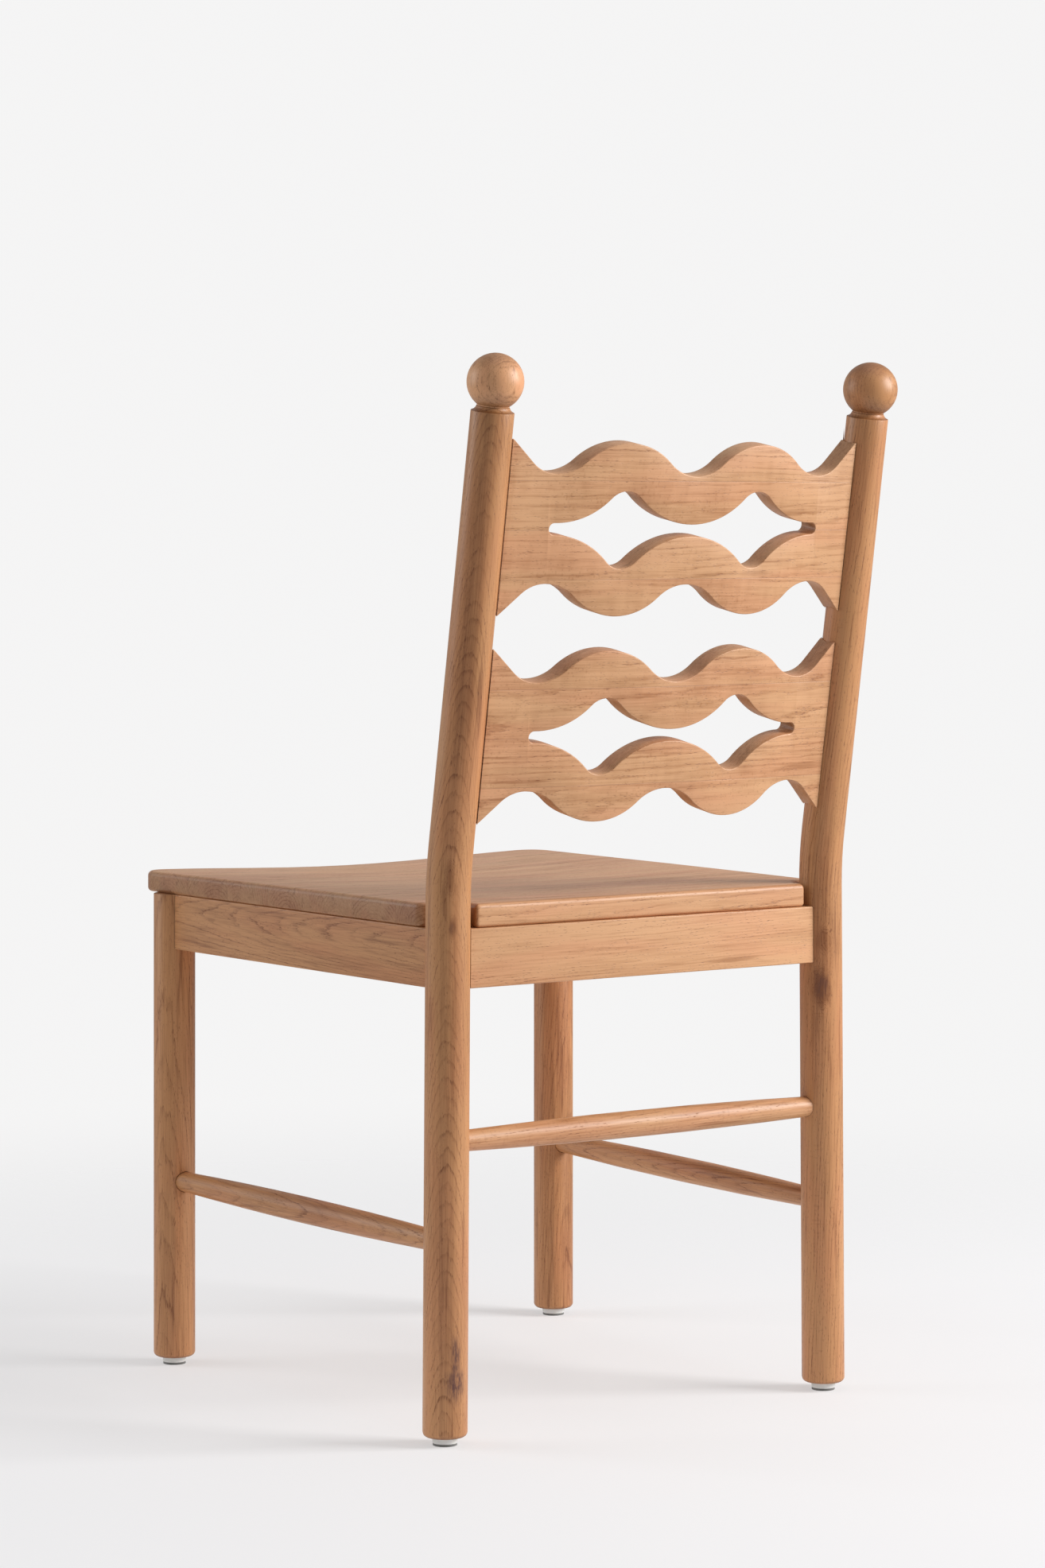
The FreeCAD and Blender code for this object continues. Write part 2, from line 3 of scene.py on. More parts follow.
import bpy
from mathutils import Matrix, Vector


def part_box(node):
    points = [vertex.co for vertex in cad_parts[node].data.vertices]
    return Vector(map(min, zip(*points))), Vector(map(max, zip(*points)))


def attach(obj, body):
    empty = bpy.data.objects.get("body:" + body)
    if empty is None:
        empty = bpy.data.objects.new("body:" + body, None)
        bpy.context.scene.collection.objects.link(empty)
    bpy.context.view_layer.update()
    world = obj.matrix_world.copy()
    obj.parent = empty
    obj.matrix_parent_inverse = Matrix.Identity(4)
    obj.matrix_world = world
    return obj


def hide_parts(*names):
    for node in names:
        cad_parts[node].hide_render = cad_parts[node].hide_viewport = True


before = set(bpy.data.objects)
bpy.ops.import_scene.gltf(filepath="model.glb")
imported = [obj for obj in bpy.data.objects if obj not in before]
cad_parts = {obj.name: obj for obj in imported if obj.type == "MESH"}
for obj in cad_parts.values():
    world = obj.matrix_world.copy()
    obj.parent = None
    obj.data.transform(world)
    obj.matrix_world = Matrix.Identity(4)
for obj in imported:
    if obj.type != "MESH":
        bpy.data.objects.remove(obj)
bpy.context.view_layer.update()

MM = 0.001
METRES_TO_MM = (1000.0, 1000.0, 1000.0)

# The camera, worked out from the photograph
CAMERA_PLACE = (2.210873, 3.198204, 0.77919)
CAMERA_TURN = (math.pi / 2, 0.0, 2.534593)
CAMERA_LENS = 99.09
CAMERA_SENSOR = 36.0
CAMERA_SHIFT_Y = -0.1721

# Studio: the floor is solid round the chair and fades into the backdrop further out
FLOOR_REACH = 9.0
FLOOR_SIDES = 96
FLOOR_CLEAR_RADIUS = 0.55
FLOOR_FADE_RADIUS = 1.9
FLOOR_TONE = (0.50, 0.50, 0.51, 1.0)
FLOOR_ROUGHNESS = 0.75
FLOOR_SPECULAR = 0.15
FLOOR_GLOW_TONE = (1.0, 0.99, 0.99, 1.0)
FLOOR_GLOW = 0.43
BACKDROP_TONE = (0.913, 0.909, 0.909, 1.0)
AMBIENT_TONE = (0.97, 0.985, 1.0, 1.0)
AMBIENT_STRENGTH = 0.29
ROOM_SHEEN = 0.35

# Soft lights, all facing the middle of the chair: name, place, size, power in watts, tone
LAMP_AIM = (0.0, 0.0, 0.45)
LAMPS = (
    ("key_softbox", (-2.5, 2.3, 1.9), 1.7, 140.0, (1.0, 0.99, 0.98)),
    ("top_softbox", (-0.4, 0.6, 3.4), 2.6, 11.0, (1.0, 1.0, 1.0)),
    ("edge_softbox", (2.4, -1.9, 1.5), 1.8, 30.0, (0.97, 0.985, 1.0)),
)

# The back: how far it leans, the height where its posts bend, and the bow of its panels
BACK_RAKE = math.radians(9.61)
BACK_BEND_HEIGHT = 0.475
BACK_BEND_SOFTNESS = 0.05
PANEL_BOW_RADIUS = 1.0417

# Arrises: how far each kind is eased, and the angles that count as sharp, smooth or flat
ARRIS = 0.9 * MM
FINE_ARRIS = 0.5 * MM
BLOCK_ARRIS = 0.4 * MM
CROWN_ARRIS = 0.45 * MM
ARRIS_SEGMENTS = 3
ARRIS_ANGLE = math.radians(40)
CROWN_ANGLE = math.radians(45)
SMOOTH_ANGLE = math.radians(32)
FLAT_ANGLE = math.radians(0.4)
WELD_DISTANCE = 0.004 * MM
POST_CROWN_LEVEL = 0.855
BALL_CROWN_LEVEL = 0.862

# Glued boards, in millimetres; each strip comes from its own place along a long trunk
PANEL_STRIP = 42.0
SEAT_STAVE = 66.0
TRUNK_LENGTH = 2600.0
TONE_SEED_STEP = 31.7
SEAM_DARKNESS = 0.40
SEAM_HEIGHT = -1.2

# Wood tones: the posts, legs and side rails are darker than the back, the seat and the other rails
POST_PALE = (0.57, 0.272, 0.112)
POST_DEEP = (0.23, 0.078, 0.020)
# The left ball is a paler copy of the post wood: painted light, lighter than the right ball
LEFT_BALL_PAINTED_LIGHT_PALE = (0.80, 0.415, 0.205)
SLAT_PALE = (0.70, 0.385, 0.196)
SLAT_DEEP = (0.36, 0.142, 0.044)
BLOCK_PALE = (0.72, 0.50, 0.30)
BLOCK_DEEP = (0.48, 0.27, 0.14)
PORE_SHARE = (0.52, 0.36, 0.28)
STAIN_TONE = (0.115, 0.040, 0.028, 1.0)
BLUSH_TINT = (1.0, 0.91, 0.92, 1.0)
END_GRAIN_TINT = (0.64, 0.59, 0.53, 1.0)
# Arris tones: the pale one is partly worn edges and partly a painted highlight along them; the seat's
# is darker and redder
WORN_AND_HIGHLIGHT_TONE = (0.80, 0.50, 0.30)
SEAT_RUBBED_TONE = (0.50, 0.20, 0.115)
WORN_AND_HIGHLIGHT_SHARE = 0.35

# How much each mark in the wood darkens it, counted up from the palest
DEPTH_START = -1.45
HAIR_DEPTH = 0.85
FIBRE_DEPTH = 0.95
BROAD_DEPTH = 0.90
END_GRAIN_DEPTH = 0.12
STREAK_DEPTH = 0.35
KNOT_DEPTH = 0.60

# The satin finish
SATIN_ROUGHNESS = 0.34
PORE_ROUGHNESS = 0.25
FIBRE_ROUGHNESS = 0.16
WOOD_SPECULAR = 0.5
WOOD_BUMP_STRENGTH = 0.35
WOOD_BUMP_DISTANCE = 0.22 * MM

# Turns that bring the grain, along Z in the pattern, onto an axis of the chair
ALONG_X = (0.0, math.pi / 2, 0.0)
ALONG_Y = (math.pi / 2, 0.0, 0.0)
ALONG_Z = (0.0, 0.0, 0.0)


def deselect_all():
    """Nothing is selected, so that the next operator acts only on what is picked for it."""
    if bpy.context.object and bpy.context.object.mode != "OBJECT":
        bpy.ops.object.mode_set(mode="OBJECT")
    bpy.ops.object.select_all(action="DESELECT")


def work_on(piece):
    """Only this piece is selected and active."""
    deselect_all()
    piece.select_set(True)
    bpy.context.view_layer.objects.active = piece


def apply_modifiers(piece):
    """Every modifier is applied, in order."""
    work_on(piece)
    for modifier in list(piece.modifiers):
        bpy.ops.object.modifier_apply(modifier=modifier.name)


def finish_piece(piece, material, slot, *nodes):
    """Gives a piece its material, lets it stand for its solids and ride on the body; the slot is not
    used.
    """
    piece.data.materials.clear()
    piece.data.materials.append(material)
    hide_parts(*nodes)
    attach(piece, "root")
    return piece


# Node helpers


def feed(tree, node, values):
    """Links or sets a node's inputs, each by name or number."""
    for key, value in values.items():
        if isinstance(value, bpy.types.NodeSocket):
            tree.links.new(value, node.inputs[key])
        else:
            node.inputs[key].default_value = value


def put(tree, kind, inputs=None, out=0, **settings):
    """Adds a shader node with its settings and inputs, and gives one of its outputs."""
    node = tree.nodes.new("ShaderNode" + kind)
    for key, value in settings.items():
        setattr(node, key, value)
    feed(tree, node, inputs or {})
    return node.outputs[out]


def maths(tree, operation, a, b=0.0, c=0.0):
    """One sum on numbers."""
    inputs = {0: a, 1: b}
    if operation in ("MULTIPLY_ADD", "SMOOTH_MIN", "SMOOTH_MAX", "COMPARE"):
        inputs[2] = c
    return put(tree, "Math", inputs, operation=operation)


def vector_maths(tree, operation, a, b=(0.0, 0.0, 0.0)):
    """One sum on vectors."""
    return put(tree, "VectorMath", {0: a, 1: b}, operation=operation)


def mix_colour(tree, amount, a, b, way="MIX"):
    """Blends two colours by an amount."""
    inputs = {0: amount, 6: a, 7: b}
    return put(tree, "Mix", inputs, out=2, data_type="RGBA", blend_type=way, clamp_factor=True)


def between(tree, value, low, high, to_low=0.0, to_high=1.0, way="SMOOTHSTEP"):
    """Maps a value from one range to another, held at both ends."""
    inputs = {0: value, 1: low, 2: high, 3: to_low, 4: to_high}
    return put(tree, "MapRange", inputs, interpolation_type=way)


def stretched(tree, vector, across, along):
    """Scales a vector so that one unit is this wide across the grain and this long along it."""
    return vector_maths(tree, "MULTIPLY", vector, (1 / across, 1 / across, 1 / along))


def noise(tree, vector, scale, detail=2.0, roughness=0.5, out=0):
    """Smooth noise on a vector: its value, or with out=1 its colour."""
    inputs = {"Vector": vector, "Scale": scale, "Detail": detail, "Roughness": roughness}
    return put(tree, "TexNoise", inputs, out=out)


def new_group(name, inputs, outputs):
    """A shader node group with named inputs and outputs, and its two end nodes."""
    tree = bpy.data.node_groups.new(name, "ShaderNodeTree")
    for label, kind, value in inputs:
        socket = tree.interface.new_socket(label, in_out="INPUT", socket_type="NodeSocket" + kind)
        if value is not None:
            socket.default_value = value
    for label, kind in outputs:
        tree.interface.new_socket(label, in_out="OUTPUT", socket_type="NodeSocket" + kind)
    entry = tree.nodes.new("NodeGroupInput")
    end = tree.nodes.new("NodeGroupOutput")
    return tree, entry.outputs, end.inputs


def use_group(tree, group, values):
    """Places a node group in a material with its own values."""
    node = tree.nodes.new("ShaderNodeGroup")
    node.node_tree = group
    feed(tree, node, values)
    return node.outputs


def grain_group():
    """Solid oak in millimetres, with the pith on Z: rings, pores, rays, fibres and changes of tone."""
    tree, given, made = new_group(
        "oak_grain",
        [
            ("Vector", "Vector", None),
            ("Facing", "Vector", None),
            ("Ring Width", "Float", 2.6),
            ("Wander", "Float", 6.0),
            ("Taper", "Float", -0.03),
            ("Figure", "Float", 0.5),
            ("Ray", "Float", 0.15),
            ("Curl", "Float", 0.0),
            ("Knot", "Float", 0.0),
            ("Tone", "Float", 0.3),
            ("Pale", "Color", (0.66, 0.33, 0.17, 1.0)),
            ("Deep", "Color", (0.36, 0.14, 0.06, 1.0)),
            ("Pore", "Color", (0.10, 0.035, 0.015, 1.0)),
        ],
        [("Color", "Color"), ("Roughness", "Float"), ("Height", "Float")],
    )
    place = given["Vector"]

    def grained(vector, across, along, detail=2.0, roughness=0.5):
        """Noise in blobs this wide across the grain and this long along it."""
        return noise(tree, stretched(tree, vector, across, along), 1.0, detail, roughness)

    # Slow bends in the trunk move the rings about
    slow = stretched(tree, place, 70, 330)
    bend = noise(tree, slow, 1.0, 1.0, 0.5, out=1)
    bend = vector_maths(tree, "SUBTRACT", bend, (0.5, 0.5, 0.5))
    bend = put(tree, "VectorMath", {0: bend, "Scale": given["Wander"]}, operation="SCALE")
    moved = vector_maths(tree, "ADD", place, bend)
    flat = vector_maths(tree, "MULTIPLY", moved, (1.0, 1.0, 0.0))
    radius = put(tree, "VectorMath", {0: flat}, out=1, operation="LENGTH")
    parts = put(tree, "SeparateXYZ", {0: moved}).node.outputs
    along = put(tree, "SeparateXYZ", {0: place}, out=2)
    radius = maths(tree, "MULTIPLY_ADD", along, given["Taper"], radius)

    # Rings: a thin dark line of spring pores, then it pales; no two alike
    count = maths(tree, "DIVIDE", radius, given["Ring Width"])
    uneven = maths(tree, "MULTIPLY", given["Wander"], 0.2)
    count = maths(tree, "MULTIPLY_ADD", grained(place, 13, 80, 2.0, 0.6), uneven, count)
    count = maths(tree, "MULTIPLY_ADD", grained(place, 2.4, 14, 1.0), 0.45, count)
    count = maths(tree, "MULTIPLY_ADD", given["Knot"], 5.0, count)
    year = maths(tree, "FRACT", count)
    early = between(tree, year, 0.0, 0.45, 1.0, 0.0)
    early = maths(tree, "MULTIPLY", early, early)
    ring = maths(tree, "MAXIMUM", early, between(tree, year, 0.90, 1.0))
    number = maths(tree, "FLOOR", maths(tree, "ADD", count, 0.10))
    strength = put(tree, "TexWhiteNoise", {"W": number}, noise_dimensions="1D")
    strength = between(tree, strength, 0.0, 1.0, 0.35, 1.0, way="LINEAR")
    fade = between(tree, grained(place, 17, 75), 0.32, 0.62, 0.30, 1.0)
    fade = maths(tree, "MAXIMUM", fade, given["Knot"])
    ring = maths(tree, "MULTIPLY", ring, maths(tree, "MULTIPLY", strength, fade))

    # Fibres, rust-brown streaks and broad changes of tone
    hair = grained(place, 0.9, 34, 2.0, 0.6)
    fibre = grained(place, 3.2, 105, 3.0, 0.7)
    streak = between(tree, grained(place, 6.0, 110, 3.0, 0.6), 0.57, 0.75)
    broad = grained(place, 30, 190)
    rosy = between(tree, grained(place, 24, 140, 1.0), 0.40, 0.64)

    # Open pores: long thin cells, most of them in the spring line
    pore_place = stretched(tree, moved, 0.8, 6.5)
    cell = put(tree, "TexVoronoi", {"Vector": pore_place, "Scale": 1.0}, feature="F1")
    size = maths(tree, "MULTIPLY_ADD", ring, 0.26, -0.02)
    size = maths(tree, "MULTIPLY_ADD", grained(place, 8, 40), 0.36, size)
    pore = between(tree, maths(tree, "SUBTRACT", size, cell), -0.03, 0.07)

    # Rays run outwards from the pith: broad flecks on a quartered face, fine ticks on a flat one
    angle = maths(tree, "ARCTAN2", parts[1], parts[0])
    arc = maths(tree, "MULTIPLY", angle, 60.0)
    ray_place = put(tree, "CombineXYZ", {0: arc, 1: radius, 2: along})
    ray_place = vector_maths(tree, "MULTIPLY", ray_place, (1 / 1.3, 1 / 17, 1 / 3.6))
    ray_cell = put(tree, "TexVoronoi", {"Vector": ray_place, "Scale": 1.0}, feature="F1")
    ray = between(tree, ray_cell, 0.16, 0.34, 1.0, 0.0)
    ray = maths(tree, "MULTIPLY", ray, between(tree, grained(place, 22, 60), 0.42, 0.60))

    # Ripples of curly figure across the grain
    curl = grained(place, 26, 8, 1.0, 0.4)
    curl = maths(tree, "MULTIPLY", maths(tree, "SUBTRACT", curl, 0.5), given["Curl"])

    # Sawn across, the wood drinks more of the finish and darkens
    end_grain = maths(tree, "ABSOLUTE", put(tree, "SeparateXYZ", {0: given["Facing"]}, out=2))
    end_grain = between(tree, end_grain, 0.30, 0.95)

    # Every mark adds to one depth, which runs from the pale tone to the deep one
    marks = (
        (ring, given["Figure"]),
        (hair, HAIR_DEPTH),
        (fibre, FIBRE_DEPTH),
        (broad, BROAD_DEPTH),
        (end_grain, END_GRAIN_DEPTH),
        (streak, STREAK_DEPTH),
        (ray, given["Ray"]),
        (given["Knot"], KNOT_DEPTH),
    )
    depth = DEPTH_START
    for mark, weight in marks:
        depth = maths(tree, "MULTIPLY_ADD", mark, weight, depth)
    depth = maths(tree, "ADD", depth, curl)
    depth = maths(tree, "ADD", depth, given["Tone"])
    depth = between(tree, depth, 0.0, 1.0, way="LINEAR")
    colour = mix_colour(tree, depth, given["Pale"], given["Deep"])
    blush = mix_colour(tree, 1.0, colour, BLUSH_TINT, way="MULTIPLY")
    colour = mix_colour(tree, maths(tree, "MULTIPLY", rosy, 0.8), colour, blush)
    rust = mix_colour(tree, 0.4, given["Deep"], given["Pore"])
    colour = mix_colour(tree, maths(tree, "MULTIPLY", streak, 0.30), colour, rust)
    colour = mix_colour(tree, maths(tree, "MULTIPLY", pore, 0.58), colour, given["Pore"])
    colour = mix_colour(tree, end_grain, colour, END_GRAIN_TINT, way="MULTIPLY")

    rough = maths(tree, "MULTIPLY_ADD", pore, PORE_ROUGHNESS, SATIN_ROUGHNESS)
    rough = maths(tree, "MULTIPLY_ADD", fibre, FIBRE_ROUGHNESS, rough)

    # Pores and spring wood lie a little low, and single fibres stand a little proud
    height = maths(tree, "MULTIPLY_ADD", pore, -1.0, 1.0)
    height = maths(tree, "MULTIPLY_ADD", ring, -0.18, height)
    height = maths(tree, "MULTIPLY_ADD", hair, 0.35, height)
    tree.links.new(colour, made["Color"])
    tree.links.new(rough, made["Roughness"])
    tree.links.new(height, made["Height"])
    return tree


def strip_group():
    """Boards glued up from strips that run along Z, side by side in X, each with its own pith."""
    tree, given, made = new_group(
        "glued_strips",
        [
            ("Vector", "Vector", None),
            ("Width", "Float", 42.0),
            ("Seed", "Float", 0.0),
            ("Pith Aside", "Float", 90.0),
            ("Pith Above", "Float", 40.0),
        ],
        [("Vector", "Vector"), ("Tone", "Float"), ("Seam", "Float")],
    )
    across, above, along = put(tree, "SeparateXYZ", {0: given["Vector"]}).node.outputs[:3]
    count = maths(tree, "DIVIDE", across, given["Width"])
    index = maths(tree, "FLOOR", count)
    seed = maths(tree, "ADD", index, given["Seed"])
    chance = put(tree, "TexWhiteNoise", {"W": seed}, out=1, noise_dimensions="1D")
    luck = put(tree, "SeparateXYZ", {0: chance}).node.outputs
    inside = maths(tree, "FRACT", count)
    local = maths(tree, "MULTIPLY", maths(tree, "SUBTRACT", inside, 0.5), given["Width"])
    aside = maths(tree, "MULTIPLY_ADD", luck[0], 2.0, -1.0)
    local = maths(tree, "MULTIPLY_ADD", aside, given["Pith Aside"], local)
    over = maths(tree, "MULTIPLY_ADD", luck[1], 1.2, 0.2)
    above = maths(tree, "MULTIPLY_ADD", over, given["Pith Above"], above)
    along = maths(tree, "MULTIPLY_ADD", luck[2], TRUNK_LENGTH, along)
    other_seed = maths(tree, "ADD", seed, TONE_SEED_STEP)
    tone = put(tree, "TexWhiteNoise", {"W": other_seed}, noise_dimensions="1D")
    edge = maths(tree, "MINIMUM", inside, maths(tree, "SUBTRACT", 1.0, inside))
    gap = maths(tree, "MULTIPLY", edge, given["Width"])
    tree.links.new(put(tree, "CombineXYZ", {0: local, 1: above, 2: along}), made["Vector"])
    tree.links.new(tone, made["Tone"])
    tree.links.new(between(tree, gap, 0.10, 0.32, 1.0, 0.0), made["Seam"])
    return tree


def edge_group():
    """Where the surface turns over an arris: partly a worn edge, partly a painted highlight along it.
    """
    tree, given, made = new_group(
        "edge_wear_and_highlight",
        [("Vector", "Vector", None), ("Radius", "Float", 0.0016)],
        [("Mask", "Float")],
    )
    turned = put(tree, "Bevel", {"Radius": given["Radius"]}, samples=4)
    true_normal = put(tree, "NewGeometry", out=1)
    alike = put(tree, "VectorMath", {0: turned, 1: true_normal}, out=1, operation="DOT_PRODUCT")
    broken = noise(tree, given["Vector"], 0.09, 3.0, 0.6)
    mask = between(tree, alike, 0.985, 0.86)
    mask = maths(tree, "MULTIPLY", mask, between(tree, broken, 0.3, 0.7))
    tree.links.new(mask, made["Mask"])
    return tree


def rake_group():
    """Straightens the bent post, so that its grain follows the bend."""
    tree, given, made = new_group("post_line", [("Vector", "Vector", None)], [("Vector", "Vector")])
    height = put(tree, "SeparateXYZ", {0: given["Vector"]}, out=2)
    above = maths(tree, "SUBTRACT", height, BACK_BEND_HEIGHT)
    above = maths(tree, "SMOOTH_MAX", above, 0.0, BACK_BEND_SOFTNESS)
    lean = maths(tree, "MULTIPLY", above, -math.tan(BACK_RAKE))
    shift = put(tree, "CombineXYZ", {1: lean})
    tree.links.new(vector_maths(tree, "ADD", given["Vector"], shift), made["Vector"])
    return tree


def bow_group():
    """Straightens the bowed panels, so that their grain follows the bow."""
    tree, given, made = new_group("panel_line", [("Vector", "Vector", None)], [("Vector", "Vector")])
    aside = put(tree, "SeparateXYZ", {0: given["Vector"]}, out=0)
    bow = maths(tree, "MULTIPLY", maths(tree, "MULTIPLY", aside, aside), 0.5 / PANEL_BOW_RADIUS)
    shift = put(tree, "CombineXYZ", {1: bow})
    tree.links.new(vector_maths(tree, "ADD", given["Vector"], shift), made["Vector"])
    return tree


def knot_group():
    """A ragged, soft-edged spot: a knot that the rings swirl round, a stain or a patch of painted
    shade.
    """
    tree, given, made = new_group(
        "knot_spot",
        [
            ("Vector", "Vector", None),
            ("Centre", "Vector", None),
            ("Radius", "Vector", None),
            ("Strength", "Float", 1.0),
        ],
        [("Mask", "Float")],
    )
    away = vector_maths(tree, "SUBTRACT", given["Vector"], given["Centre"])
    away = vector_maths(tree, "DIVIDE", away, given["Radius"])
    ragged = vector_maths(tree, "MULTIPLY", given["Vector"], (160.0, 160.0, 60.0))
    ragged = noise(tree, ragged, 1.0, 3.0, 0.6, out=1)
    ragged = vector_maths(tree, "SUBTRACT", ragged, (0.5, 0.5, 0.5))
    away = vector_maths(tree, "ADD", away, vector_maths(tree, "MULTIPLY", ragged, (0.9, 0.9, 0.9)))
    distance = put(tree, "VectorMath", {0: away}, out=1, operation="LENGTH")
    mask = between(tree, distance, 0.25, 1.0, 1.0, 0.0)
    tree.links.new(maths(tree, "MULTIPLY", mask, given["Strength"]), made["Mask"])
    return tree


OAK_GRAIN = grain_group()
GLUED_STRIPS = strip_group()
EDGE_WEAR_AND_HIGHLIGHT = edge_group()
POST_LINE = rake_group()
PANEL_LINE = bow_group()
KNOT_SPOT = knot_group()


def place_on_piece(tree, line=None):
    """Object coordinates, with a bent or bowed piece straightened by its line group."""
    here = put(tree, "TexCoord", out=3)
    return use_group(tree, line, {"Vector": here})["Vector"] if line else here


def wood_vector(tree, place, turn, line=None):
    """Millimetres in the trunk: the grain runs along Z, and the pith is at the origin."""
    here = place_on_piece(tree, line)
    inputs = {"Vector": here, "Location": place, "Rotation": turn, "Scale": METRES_TO_MM}
    return put(tree, "Mapping", inputs, vector_type="POINT")


def spots_at(tree, places, line=None):
    """The strongest of several spots, each given by its centre, its reach each way and its strength."""
    here = place_on_piece(tree, line)
    spots = None
    for centre, radius, strength in places:
        spot = {"Vector": here, "Centre": centre, "Radius": radius, "Strength": strength}
        spot = use_group(tree, KNOT_SPOT, spot)["Mask"]
        spots = maths(tree, "MAXIMUM", spots, spot) if spots else spot
    return spots


def oak(
    name, turn, place, pale, deep, tone,
    strip=0.0, seed=0.0, pith=(0.0, 0.0), tone_spread=0.0,
    line=None, knots=(), stains=(), shaded=(), arris_tone=WORN_AND_HIGHLIGHT_TONE, **figure,
):
    """One satin oak finish with open pores and lightened arrises (partly worn, partly a painted
    highlight), cut from its own place in the trunk.
    """
    material = bpy.data.materials.new(name)
    material.use_nodes = True
    tree = material.node_tree
    shader = tree.nodes["Principled BSDF"]
    vector = wood_vector(tree, place, turn, line)
    facing = put(tree, "TexCoord", out=1)
    facing = put(tree, "Mapping", {"Vector": facing, "Rotation": turn}, vector_type="VECTOR")
    values = {
        "Facing": facing,
        "Pale": (*pale, 1.0),
        "Deep": (*deep, 1.0),
        "Pore": (*(part * share for part, share in zip(deep, PORE_SHARE)), 1.0),
        "Tone": tone,
    }
    seam = None
    if strip:
        cut = {"Vector": vector, "Width": strip, "Seed": seed}
        cut.update({"Pith Aside": pith[0], "Pith Above": pith[1]})
        boards = use_group(tree, GLUED_STRIPS, cut)
        values["Vector"] = boards["Vector"]
        palest, deepest = tone - tone_spread, tone + tone_spread
        values["Tone"] = between(tree, boards["Tone"], 0.0, 1.0, palest, deepest, way="LINEAR")
        seam = boards["Seam"]
    else:
        values["Vector"] = vector
    for key, value in figure.items():
        values[key.replace("_", " ").title()] = value
    if knots:
        values["Knot"] = spots_at(tree, knots, line)
    # Painted shade: spots that darken the tone where shade falls on the piece
    if shaded:
        values["Tone"] = maths(tree, "ADD", spots_at(tree, shaded, line), tone)
    grain = use_group(tree, OAK_GRAIN, values)
    colour = grain["Color"]
    height = grain["Height"]
    if stains:
        soaked = noise(tree, stretched(tree, vector, 1.6, 9), 1.0, 3.0, 0.65)
        soaked = between(tree, soaked, 0.38, 0.60, 0.35, 1.0)
        soaked = maths(tree, "MULTIPLY", spots_at(tree, stains, line), soaked)
        colour = mix_colour(tree, soaked, colour, STAIN_TONE)
    if seam:
        colour = mix_colour(tree, maths(tree, "MULTIPLY", seam, SEAM_DARKNESS), colour, values["Pore"])
        height = maths(tree, "MULTIPLY_ADD", seam, SEAM_HEIGHT, height)
    # Arrises lightened, partly worn edges and partly a painted highlight
    worn_and_lit = use_group(tree, EDGE_WEAR_AND_HIGHLIGHT, {"Vector": vector})["Mask"]
    colour = mix_colour(tree, maths(tree, "MULTIPLY", worn_and_lit, WORN_AND_HIGHLIGHT_SHARE), colour, (*arris_tone, 1.0))
    tree.links.new(colour, shader.inputs["Base Color"])
    tree.links.new(grain["Roughness"], shader.inputs["Roughness"])
    raised = {"Strength": WOOD_BUMP_STRENGTH, "Distance": WOOD_BUMP_DISTANCE, "Height": height}
    tree.links.new(put(tree, "Bump", raised), shader.inputs["Normal"])
    shader.inputs["Specular IOR Level"].default_value = WOOD_SPECULAR
    return material


def plain_material(name, colour, rough, spread, grain_size, bump):
    """A moulded or rolled surface: fine mottling in its colour, roughness and height."""
    material = bpy.data.materials.new(name)
    material.use_nodes = True
    tree = material.node_tree
    shader = tree.nodes["Principled BSDF"]
    here = put(tree, "TexCoord", out=3)
    fine = noise(tree, here, 1 / grain_size, 4.0, 0.6)
    broad = noise(tree, here, 0.08 / grain_size, 2.0, 0.5)
    deeper = tuple(c * (1.0 - spread) for c in colour)
    speck = maths(tree, "MULTIPLY_ADD", fine, 0.6, maths(tree, "MULTIPLY", broad, 0.4))
    tone = mix_colour(tree, speck, (*colour, 1.0), (*deeper, 1.0))
    tree.links.new(tone, shader.inputs["Base Color"])
    uneven = between(tree, fine, 0.3, 0.7, rough - 0.07, rough + 0.07)
    tree.links.new(uneven, shader.inputs["Roughness"])
    raised = put(tree, "Bump", {"Strength": 0.5, "Distance": bump, "Height": fine})
    tree.links.new(raised, shader.inputs["Normal"])
    return material, shader


# Pieces


def ease_crown(piece, level):
    """Rounds the turned arrises that lie above a level."""
    mesh = piece.data
    faces_at = {}
    for face in mesh.polygons:
        for key in face.edge_keys:
            faces_at.setdefault(key, []).append(face.normal.copy())
    for edge in mesh.edges:
        sides = faces_at[edge.key]
        above = all(mesh.vertices[i].co.z > level for i in edge.vertices)
        edge.select = above and len(sides) == 2 and sides[0].angle(sides[1]) > CROWN_ANGLE
    bpy.ops.object.mode_set(mode="EDIT")
    bpy.ops.mesh.select_mode(type="EDGE")
    bpy.ops.mesh.bevel(
        offset=CROWN_ARRIS, segments=ARRIS_SEGMENTS, affect="EDGES", clamp_overlap=False
    )
    bpy.ops.mesh.select_all(action="DESELECT")
    bpy.ops.object.mode_set(mode="OBJECT")


